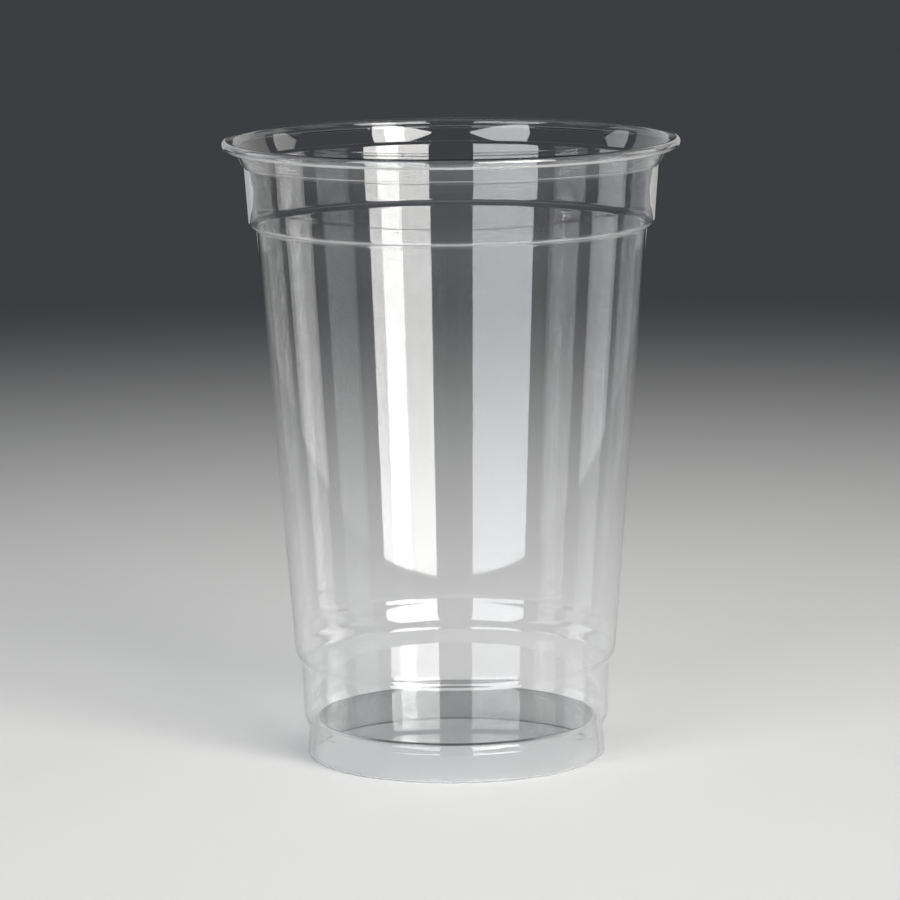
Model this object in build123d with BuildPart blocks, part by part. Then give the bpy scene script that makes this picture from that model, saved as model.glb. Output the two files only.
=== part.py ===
"""Clear plastic cold-drink cup: one sheet, drawn into a mould, with its lip rolled over."""
import os
from math import cos, radians, sin, tan

from build123d import *

# Overall sizes (mm). The origin is at the middle of the foot, +Z up.
rim_diameter = 98.0
height = 134.0
foot_diameter = 64.9
sheet = 0.3

# Raised base, and the narrow pleat that the foot makes round it.
base_rise = 7.8
base_inset = 2.05
tread_inset = 1.45
rise_corner = 0.7
tread_corner = 0.4
foot_draft = 5.0
foot_corner = 0.7

# Groove over the foot, and the heel where the lower wall starts.
groove_height = 6.0
heel_out = 0.6
heel_height = 8.9
groove_corner = 1.2
heel_corner = 1.2

# Stacking ledge: the lower wall stands back from the main wall here.
ledge_height = 20.6
lower_wall_out = 0.85
ledge_out = 1.42
ledge_slope = 56.0
notch_corner = 1.0
ledge_corner = 3.6

# Faint ring in the main wall, a little over the ledge.
ring_height = 27.1
ring_half_width = 0.8
ring_proud = 0.045
ring_corner = 3.0

# Band under the lip: wider than the main wall, measured from the rim.
band_drop = 18.1
band_inset = 5.55
band_step = 1.6
band_slope = 31.0
step_corner = 0.4
band_corner = 1.4

# Lip: a small step at the neck, then the sheet flares and rolls over, down and back under itself.
neck_drop = 5.0
neck_step_out = 0.55
neck_step_rise = 0.6
neck_corner = 0.5
flare_angle = 66.0
crown_radius = 2.1
roll_top_radius = 0.85
roll_under_radius = 1.4
roll_under_turn = 112.0

# Radii of the sheet's outside face at each level.
rim_radius = rim_diameter / 2
foot_radius = foot_diameter / 2
tread_radius = foot_radius - tread_inset
base_radius = foot_radius - base_inset
groove_radius = foot_radius - groove_height * tan(radians(foot_draft))
heel_radius = foot_radius + heel_out
notch_radius = foot_radius + lower_wall_out
ledge_radius = notch_radius + ledge_out
ledge_top = ledge_height + ledge_out * tan(radians(ledge_slope))
band_height = height - band_drop
band_radius = rim_radius - band_inset
wall_top_radius = band_radius - band_step
wall_top_height = band_height - band_step * tan(radians(band_slope))

# The lip is set out from its own top, so that it ends at the rim's size.
crown_bend = crown_radius - sheet
top_bend = roll_top_radius - sheet
under_bend = roll_under_radius - sheet
flare_end_radius = rim_radius - roll_top_radius - crown_bend * sin(radians(flare_angle))
flare_end_height = height - crown_radius + crown_bend * cos(radians(flare_angle))
neck_height = height - neck_drop
neck_radius = flare_end_radius - (flare_end_height - neck_height) / tan(radians(flare_angle))


def wall_point(level, proud=0.0):
    """Point of the main wall's straight taper at a height, moved outwards by proud."""
    share = (level - ledge_top) / (wall_top_height - ledge_top)
    return (ledge_radius + share * (wall_top_radius - ledge_radius) + proud, level)


# Corners of the sheet's mould side from the axis outwards, each with the radius it is rounded to.
body_corners = [
    ((base_radius, base_rise), rise_corner),
    ((tread_radius, 0), tread_corner),
    ((foot_radius, 0), foot_corner),
    ((groove_radius, groove_height), groove_corner),
    ((heel_radius, heel_height), heel_corner),
    ((notch_radius, ledge_height), notch_corner),
    ((ledge_radius, ledge_top), ledge_corner),
    (wall_point(ring_height - ring_half_width), ring_corner),
    (wall_point(ring_height, ring_proud), ring_corner),
    (wall_point(ring_height + ring_half_width), ring_corner),
    ((wall_top_radius, wall_top_height), step_corner),
    ((band_radius, band_height), band_corner),
    ((neck_radius - neck_step_out, neck_height - neck_step_rise), neck_corner),
    ((neck_radius, neck_height), neck_corner),
]
axis_point = (0, base_rise)
flare_end = (flare_end_radius, flare_end_height)


def sheet_line(depth):
    """Draw the whole run of the sheet, at a depth into it from its mould side."""
    points = [Vector(*p) for p in [axis_point, *(c[0] for c in body_corners), flare_end]]
    runs = [(b - a).normalized() for a, b in zip(points, points[1:])]
    lefts = [run.rotate(Axis.Z, 90) for run in runs]
    shifted = [points[0] + lefts[0] * depth]
    radii = []
    for i, (_, radius) in enumerate(body_corners):
        before, after = lefts[i], lefts[i + 1]
        shifted.append(points[i + 1] + (before + after) * (depth / (1 + before.dot(after))))
        left_turn = before.cross(after).Z > 0
        radii.append(radius - depth if left_turn else radius + depth)
    shifted.append(points[-1] + lefts[-1] * depth)
    body = FilletPolyline(*shifted, radius=radii)
    crown = JernArc(body @ 1, body % 1, crown_bend + depth, -flare_angle)
    over = JernArc(crown @ 1, crown % 1, top_bend + depth, -90)
    under = JernArc(over @ 1, over % 1, under_bend + depth, -roll_under_turn)
    return body @ 0, under @ 1


with BuildPart() as cup:
    with BuildSketch(Plane.XZ):
        with BuildLine():
            mould_start, mould_end = sheet_line(0)
            inside_start, inside_end = sheet_line(sheet)
            Line(mould_start, inside_start)
            Line(mould_end, inside_end)
        make_face()
    revolve(axis=Axis.Z)

cup.part.label = "cup"

os.makedirs("parts", exist_ok=True)
export_step(cup.part, "parts/cup.step")
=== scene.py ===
import bmesh
import bpy
from math import ceil, cos, pi, radians, sin, tan
from mathutils import Matrix, Vector


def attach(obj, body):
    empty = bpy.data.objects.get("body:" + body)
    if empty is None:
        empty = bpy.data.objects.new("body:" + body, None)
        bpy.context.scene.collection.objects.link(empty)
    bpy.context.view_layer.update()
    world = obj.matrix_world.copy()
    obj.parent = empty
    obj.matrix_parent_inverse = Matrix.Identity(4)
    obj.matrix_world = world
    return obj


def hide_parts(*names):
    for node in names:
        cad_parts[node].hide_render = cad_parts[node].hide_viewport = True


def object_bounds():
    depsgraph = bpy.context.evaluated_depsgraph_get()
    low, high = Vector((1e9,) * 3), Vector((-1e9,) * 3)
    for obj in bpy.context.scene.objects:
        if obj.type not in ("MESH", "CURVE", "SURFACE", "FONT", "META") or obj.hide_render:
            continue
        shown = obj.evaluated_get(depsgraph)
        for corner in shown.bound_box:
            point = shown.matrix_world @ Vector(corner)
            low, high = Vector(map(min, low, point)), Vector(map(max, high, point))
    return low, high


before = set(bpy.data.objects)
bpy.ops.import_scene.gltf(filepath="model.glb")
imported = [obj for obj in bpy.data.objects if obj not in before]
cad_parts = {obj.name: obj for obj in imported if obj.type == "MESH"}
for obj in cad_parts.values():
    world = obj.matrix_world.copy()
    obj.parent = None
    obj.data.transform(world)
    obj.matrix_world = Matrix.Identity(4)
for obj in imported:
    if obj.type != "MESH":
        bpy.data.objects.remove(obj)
cad_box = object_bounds()
scene = bpy.context.scene
scene.view_settings.view_transform = "Standard"

foot_level = cad_box[0].z

# Camera: a long lens, a little above the lip, leaning by half a degree.
VIEW_DISTANCE = 1.002
VIEW_HEIGHT = 0.227
VIEW_SIDE = -0.0008
VIEW_PITCH = radians(9.108)
VIEW_ROLL = radians(-0.528)
VIEW_LENS = 187.9
SENSOR_WIDTH = 36.0

# Studio: the backdrop's tone, the soft fill on the floor, and how far the floor's painted pool of light
# reaches before it fades to the backdrop's tone.
BACKDROP = (0.046, 0.048, 0.052)
FILL_STRENGTH = 0.12
FLOOR_COLOUR = (0.74, 0.74, 0.735)
# Painted pool of light on the floor: full pale up to the first distance, faded to painted shade by the
# second.
FLOOR_RADIUS = 0.85
FLOOR_LIGHT_POOL_FULL_TO = 0.06
FLOOR_LIGHT_POOL_END = 0.80

# Panels round the cup, in degrees from the camera's side: near and far edge, top (m), radiance, colour.
LAMP_DISTANCE = 1.3
LAMP_FOOT = -0.06
WARM = (1.0, 0.985, 0.96)
COOL = (0.95, 0.97, 1.0)
PANELS = {
    "key_right": (13, 52, 1.45, 6.8, WARM),
    "key_right_core": (31, 44, 1.45, 5.0, WARM),
    "key_left": (-52, -13, 1.45, 4.4, COOL),
    "side_right": (63, 86, 0.80, 0.55, WARM),
    "side_left": (-86, -63, 0.80, 0.55, COOL),
    "back_side_right": (96, 122, 0.80, 1.3, WARM),
    "back_side_left": (-122, -96, 0.80, 1.3, COOL),
    "back_right": (129, 174, 0.80, 0.45, WARM),
    "back_left": (-174, -129, 0.80, 0.45, COOL),
}

# Plastic: its tint and the tint of light passing through, and its faint marks (per metre, and in metres).
PLASTIC_TINT = (0.985, 0.99, 0.992)
PASSING_TINT = (0.90, 0.905, 0.91)
PLASTIC_IOR = 1.57
EDGE_BLEND = 0.35
WAVES_PER_METRE = 70.0
WAVE_DEPTH = 0.00001
DRAW_LINES_PER_METRE = 420.0
DRAW_LINE_STRETCH = 0.03
DRAW_LINE_SHARE = 0.08
HAZE_PER_METRE = 180.0
HAZE = 0.035

# Cup mesh: how finely the section's arcs and the whole turn are divided.
ARC_STEP = radians(11)
TURN_STEPS = 256
SEAM_WIDTH = 1e-6
MERGE_WIDTH = 1e-6
SHARP_EDGE = radians(50)
TINY = 1e-12


class Sock:
    """A node socket that adds Math nodes when it is used in an expression."""

    def __init__(self, tree, socket):
        self.tree = tree
        self.socket = socket

    def _math(self, operation, *values):
        return self.tree.node("ShaderNodeMath", {"operation": operation}, dict(enumerate(values)))

    def __add__(self, other):
        return self._math("ADD", self, other)

    def __sub__(self, other):
        return self._math("SUBTRACT", self, other)

    def __rsub__(self, other):
        return self._math("SUBTRACT", other, self)

    def __mul__(self, other):
        return self._math("MULTIPLY", self, other)

    def __pow__(self, other):
        return self._math("POWER", self, other)

    def maximum(self, other):
        return self._math("MAXIMUM", self, other)

    __radd__ = __add__
    __rmul__ = __mul__


class Nodes:
    """A node tree, with the one method that makes its nodes."""

    def __init__(self, owner):
        owner.use_nodes = True
        self.tree = owner.node_tree
        self.tree.nodes.clear()

    def node(self, kind, settings=None, inputs=None, output=0):
        """Make a node: its settings first, then the values or links of its sockets."""
        made = self.tree.nodes.new(kind)
        for name, value in (settings or {}).items():
            setattr(made, name, value)
        for name, value in (inputs or {}).items():
            socket = made.inputs[name]
            if isinstance(value, Sock):
                self.tree.links.new(value.socket, socket)
            elif socket.type == "RGBA":
                socket.default_value = (*value, 1.0)
            else:
                socket.default_value = value
        return Sock(self, made.outputs[output]) if made.outputs else None


def set_camera():
    camera = bpy.data.objects.new("camera", bpy.data.cameras.new("camera"))
    scene.collection.objects.link(camera)
    camera.data.sensor_width = SENSOR_WIDTH
    camera.data.lens = VIEW_LENS
    camera.matrix_world = (
        Matrix.Translation((VIEW_SIDE, -VIEW_DISTANCE, foot_level + VIEW_HEIGHT))
        @ Matrix.Rotation(pi / 2 - VIEW_PITCH, 4, "X")
        @ Matrix.Rotation(VIEW_ROLL, 4, "Z")
    )
    scene.camera = camera


def add_panel(name, near, far, top, radiance, colour):
    """A tall soft panel that stands upright and fills a range of azimuths as seen from the cup."""
    middle = radians((near + far) / 2)
    width = 2 * LAMP_DISTANCE * tan(radians(far - near) / 2)
    height = top - LAMP_FOOT
    data = bpy.data.lights.new(name, "AREA")
    data.shape = "RECTANGLE"
    data.size = width
    data.size_y = height
    data.color = colour
    data.energy = radiance * pi * width * height
    lamp = bpy.data.objects.new(name, data)
    scene.collection.objects.link(lamp)
    towards = Vector((sin(middle), -cos(middle), 0))
    lamp.location = towards * LAMP_DISTANCE + Vector((0, 0, foot_level + (top + LAMP_FOOT) / 2))
    lamp.rotation_euler = (-towards).to_track_quat("-Z", "Y").to_euler()
    lamp.visible_camera = False


def light_world():
    """The backdrop's tone to the eye and in the plastic, and a soft fill to everything else."""
    world = bpy.data.worlds.new("studio")
    scene.world = world
    n = Nodes(world)
    seen = n.node("ShaderNodeLightPath", output="Is Camera Ray")
    for kind in ("Is Glossy Ray", "Is Transmission Ray"):
        seen = seen.maximum(n.node("ShaderNodeLightPath", output=kind))
    fill = n.node("ShaderNodeBackground", None, {"Strength": FILL_STRENGTH})
    backdrop = n.node("ShaderNodeBackground", None, {"Color": BACKDROP})
    mixed = n.node("ShaderNodeMixShader", None, {0: seen, 1: fill, 2: backdrop})
    n.node("ShaderNodeOutputWorld", None, {"Surface": mixed})


def lay_floor():
    """A pale disc with a painted pool of light: it fades into the backdrop's tone, painted as a dark
    glow, well before its edge.
    """
    mesh = bpy.data.meshes.new("floor")
    bm = bmesh.new()
    bmesh.ops.create_circle(bm, cap_ends=True, segments=128, radius=FLOOR_RADIUS)
    bm.to_mesh(mesh)
    bm.free()
    floor = bpy.data.objects.new("floor", mesh)
    scene.collection.objects.link(floor)
    floor.location.z = foot_level

    paint = bpy.data.materials.new("floor_painted_light_pool")
    n = Nodes(paint)
    place = n.node("ShaderNodeTexCoord", output="Object")
    reach = n.node("ShaderNodeVectorMath", {"operation": "LENGTH"}, {0: place}, "Value")
    # Painted pool of light: lit pale diffuse near the cup, fading with distance into painted shade, a
    # dark emission in the backdrop's tone.
    painted_light_falloff = n.node(
        "ShaderNodeMapRange",
        {"interpolation_type": "SMOOTHSTEP"},
        {"Value": reach, "From Min": FLOOR_LIGHT_POOL_FULL_TO, "From Max": FLOOR_LIGHT_POOL_END},
    )
    pale = n.node("ShaderNodeBsdfDiffuse", None, {"Color": FLOOR_COLOUR})
    far = n.node("ShaderNodeEmission", None, {"Color": BACKDROP})
    mixed = n.node("ShaderNodeMixShader", None, {0: painted_light_falloff, 1: pale, 2: far})
    n.node("ShaderNodeOutputMaterial", None, {"Surface": mixed})
    mesh.materials.append(paint)


def clear_plastic():
    """Drawn clear sheet: glossy, with faint draw lines, a slow waviness and a trace of haze."""
    paint = bpy.data.materials.new("clear_plastic")
    n = Nodes(paint)
    place = n.node("ShaderNodeTexCoord", output="Object")
    drawn = n.node("ShaderNodeMapping", None, {"Vector": place, "Scale": (1.0, 1.0, DRAW_LINE_STRETCH)})
    lines = n.node("ShaderNodeTexNoise", None, {"Vector": drawn, "Scale": DRAW_LINES_PER_METRE})
    waves = n.node("ShaderNodeTexNoise", None, {"Vector": place, "Scale": WAVES_PER_METRE, "Detail": 1.0})
    bump = n.node(
        "ShaderNodeBump",
        None,
        {"Height": waves + lines * DRAW_LINE_SHARE, "Strength": 1.0, "Distance": WAVE_DEPTH},
    )
    haze = n.node("ShaderNodeTexNoise", None, {"Vector": place, "Scale": HAZE_PER_METRE, "Detail": 3.0})
    plastic = n.node(
        "ShaderNodeBsdfPrincipled",
        None,
        {
            "Base Color": PLASTIC_TINT,
            "Roughness": haze * HAZE,
            "IOR": PLASTIC_IOR,
            "Transmission Weight": 1.0,
            "Normal": bump,
        },
    )
    # Light for the floor passes straight through the sheet, less so where it meets the sheet edge on.
    passing = n.node("ShaderNodeLightPath", output="Is Shadow Ray").maximum(
        n.node("ShaderNodeLightPath", output="Is Diffuse Ray")
    )
    edge_on = n.node("ShaderNodeLayerWeight", None, {"Blend": EDGE_BLEND}, "Facing")
    through = n.node("ShaderNodeBsdfTransparent", None, {"Color": PASSING_TINT})
    mixed = n.node("ShaderNodeMixShader", None, {0: passing * (1 - edge_on ** 2), 1: plastic, 2: through})
    n.node("ShaderNodeOutputMaterial", None, {"Surface": mixed})
    return paint


def seam_runs(node):
    """The CAD piece's own section on its seam: each run's two ends, with the outward normal at each."""
    mesh = node.data
    runs = {}
    for face in mesh.polygons:
        corners = list(face.loop_indices)
        for first, second in zip(corners, corners[1:] + corners[:1]):
            a, b = (mesh.vertices[mesh.loops[i].vertex_index].co for i in (first, second))
            if max(abs(a.y), abs(b.y)) < SEAM_WIDTH < min(a.x, b.x):
                a_out, b_out = (mesh.corner_normals[i].vector.xz.normalized() for i in (first, second))
                runs[(a + b).to_tuple(6)] = (a.xz, a_out, b.xz, b_out)
    return runs.values()


def arc_points(a, a_out, b, b_out):
    """Points along the arc that leaves a and reaches b square to their normals."""
    turn = -a_out.angle_signed(b_out)
    steps = max(1, ceil(abs(turn) / ARC_STEP))
    change = b_out - a_out
    radius = (b - a).dot(change) / max(change.length_squared, TINY)
    inner = [a + (Matrix.Rotation(turn * i / steps, 2) @ a_out - a_out) * radius for i in range(1, steps)]
    return [a, *inner, b]


def make_cup():
    """The cup's sheet, spun from the CAD section with every arc drawn smooth."""
    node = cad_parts["cup"]
    bm = bmesh.new()
    for run in seam_runs(node):
        verts = [bm.verts.new((x, 0, z)) for x, z in arc_points(*run)]
        for pair in zip(verts, verts[1:]):
            bm.edges.new(pair)
    bmesh.ops.remove_doubles(bm, verts=bm.verts, dist=MERGE_WIDTH)
    for end in [v for v in bm.verts if len(v.link_edges) == 1]:
        bm.edges.new((end, bm.verts.new((0, 0, end.co.z))))
    bmesh.ops.spin(
        bm,
        geom=bm.verts[:] + bm.edges[:],
        cent=(0, 0, 0),
        axis=(0, 0, 1),
        angle=2 * pi,
        steps=TURN_STEPS,
        use_merge=True,
    )
    bmesh.ops.remove_doubles(bm, verts=bm.verts, dist=MERGE_WIDTH)
    bmesh.ops.recalc_face_normals(bm, faces=bm.faces)
    for face in bm.faces:
        face.smooth = True
    for edge in bm.edges:
        edge.smooth = edge.calc_face_angle(0) < SHARP_EDGE
    mesh = bpy.data.meshes.new("cup_sheet")
    bm.to_mesh(mesh)
    bm.free()
    mesh.materials.append(clear_plastic())
    cup = bpy.data.objects.new("cup_sheet", mesh)
    scene.collection.objects.link(cup)
    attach(cup, "root")
    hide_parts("cup")


set_camera()
for panel_name, panel in PANELS.items():
    add_panel(panel_name, *panel)
light_world()
lay_floor()
make_cup()
